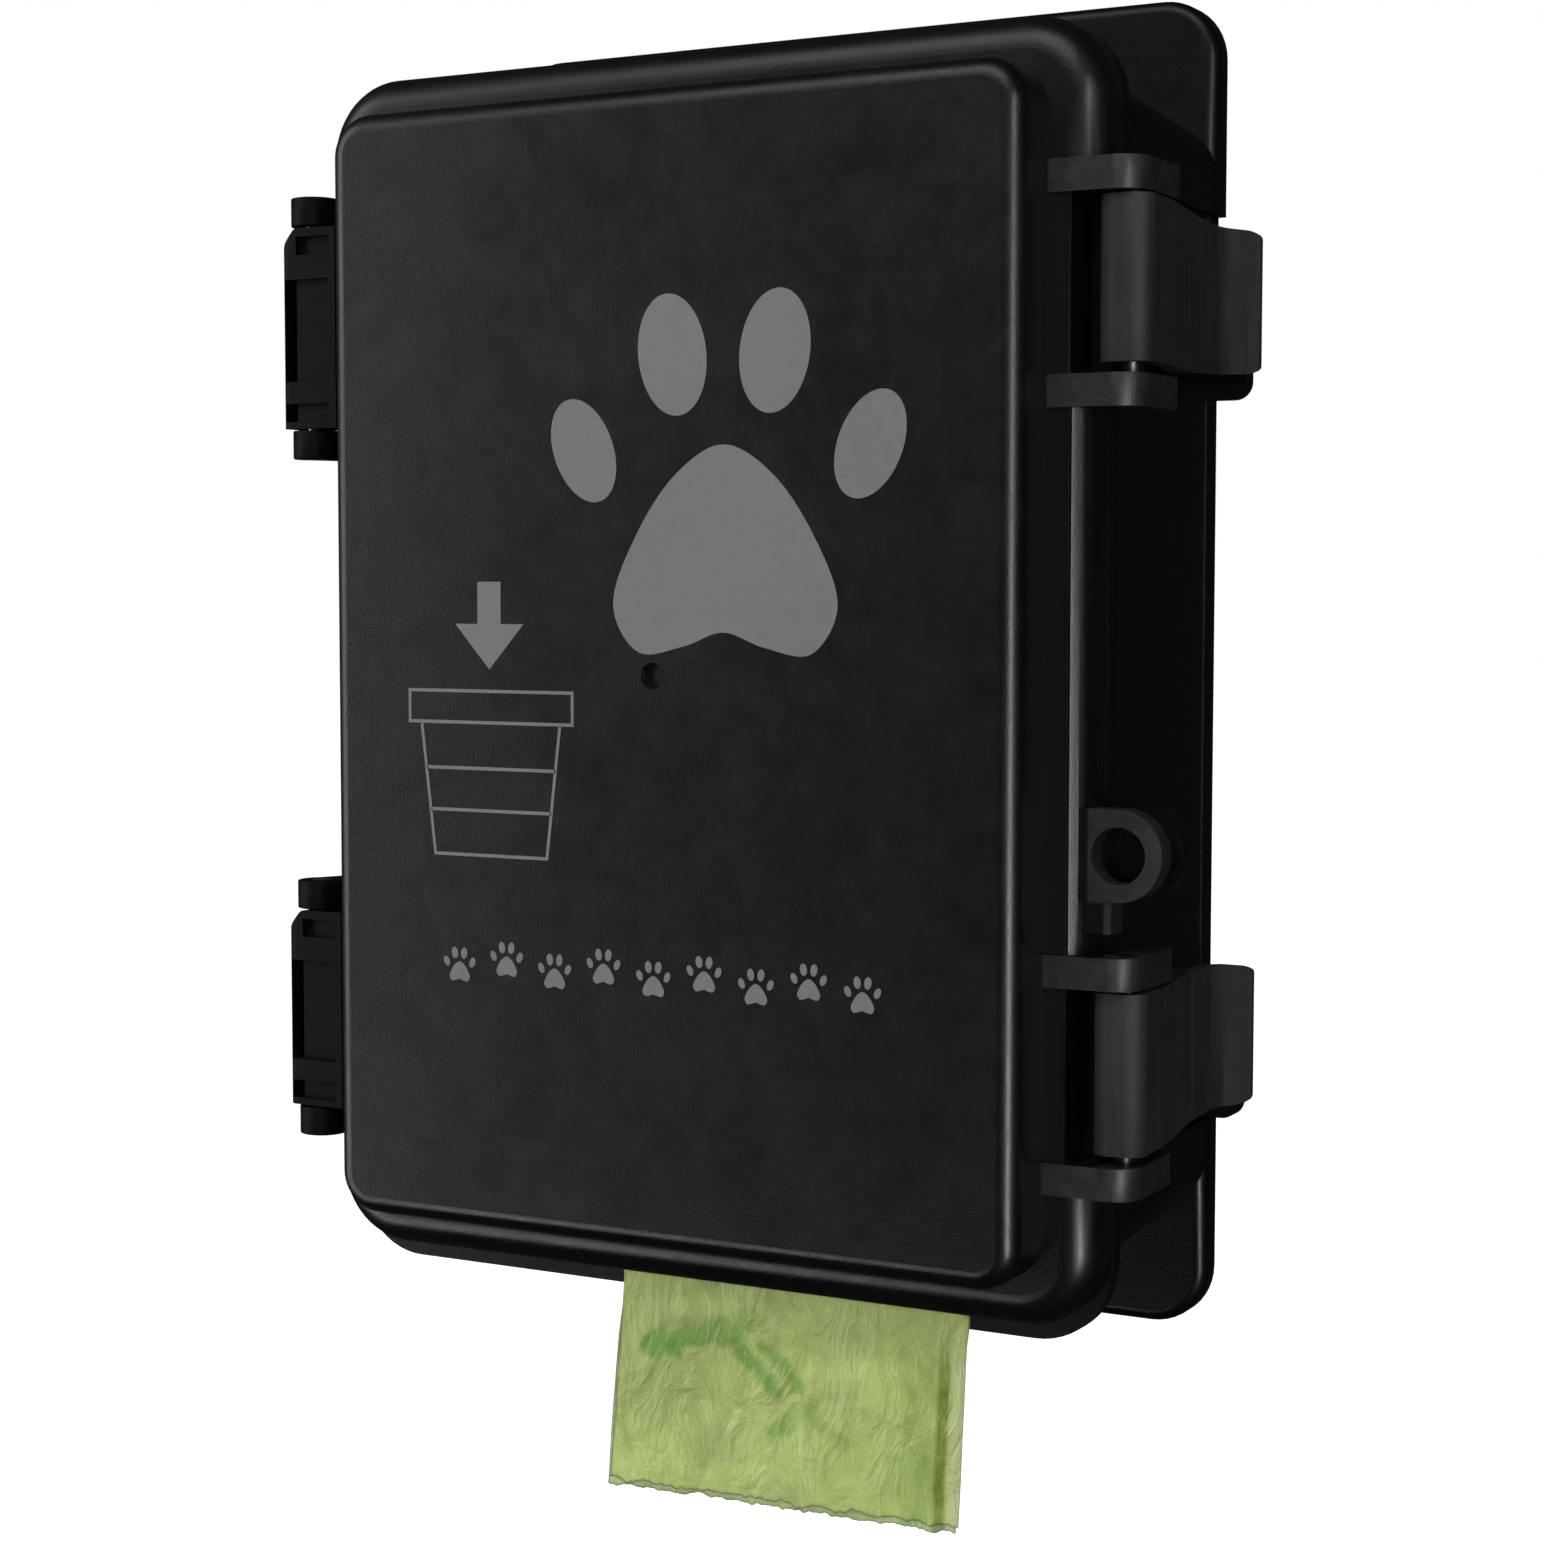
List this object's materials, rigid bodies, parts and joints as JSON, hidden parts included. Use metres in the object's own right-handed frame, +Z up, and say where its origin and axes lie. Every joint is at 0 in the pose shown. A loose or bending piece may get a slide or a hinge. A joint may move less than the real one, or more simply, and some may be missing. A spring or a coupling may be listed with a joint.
{
  "type": "dog waste bag dispenser",
  "caption": "Black wall-mounted plastic box with a side-hinged, latched door and a padlock eye; a roll of green waste bags inside feeds out of a slot in the bottom edge.",
  "frame": {"origin": "middle of the back plate's rear face, on the wall", "axes": "+X to the right seen from the front, +Y into the wall, +Z up"},
  "size_m": [0.1662, 0.0707, 0.25],
  "materials": {
    "black_moulding": "satin moulded ABS",
    "black_lever": "satin moulded nylon",
    "dark_pin": "blackened steel pin",
    "steel": "plain stainless",
    "zinc_steel": "zinc-plated sheet",
    "seal_rubber": "foamed rubber cord",
    "white_plastic": "natural nylon rod",
    "card": "spiral-wound card",
    "green_film": "thin crinkled polyethylene film"
  },
  "bodies": {
    "base": {"base_box": "black_moulding", "door_seal": "seal_rubber", "hinge_bracket_upper": "black_moulding", "hinge_bracket_lower": "black_moulding", "hinge_pin_upper": "steel", "hinge_pin_lower": "steel", "inner_plate": "zinc_steel", "plate_screw_1": "steel", "plate_screw_2": "steel", "plate_screw_3": "steel", "plate_screw_4": "steel", "roll_cradle": "zinc_steel", "cradle_screw_1": "steel", "cradle_screw_2": "steel", "spindle_rod": "white_plastic", "spindle_cap_left": "seal_rubber", "spindle_cap_right": "seal_rubber", "bag_film": "green_film"},
    "door": {"door_shell": "black_moulding", "hinge_clip_upper": "black_moulding", "hinge_clip_lower": "black_moulding", "latch_pin_upper": "dark_pin", "latch_pin_lower": "dark_pin"},
    "latch_upper": {"latch_lever_upper": "black_lever"},
    "latch_lower": {"latch_lever_lower": "black_lever"},
    "roll": {"roll_core": "card", "bag_roll": "green_film"}
  },
  "joints": [
    {"name": "door_hinge", "type": "hinge", "parent": "base", "child": "door", "pos_m": [-0.0788, -0.054, 0], "axis": [0, 0, -1], "range_deg": [0, 110]},
    {"name": "latch_upper_pivot", "type": "hinge", "parent": "door", "child": "latch_upper", "pos_m": [0.0751, -0.0556, 0.05985], "axis": [0, 0, -1], "range_deg": [0, 100]},
    {"name": "latch_lower_pivot", "type": "hinge", "parent": "door", "child": "latch_lower", "pos_m": [0.0751, -0.0556, -0.06035], "axis": [0, 0, -1], "range_deg": [0, 100]},
    {"name": "roll_spin", "type": "hinge", "parent": "base", "child": "roll", "pos_m": [0.0137, -0.0412, -0.025], "axis": [1, 0, 0], "continuous": true}
  ]
}
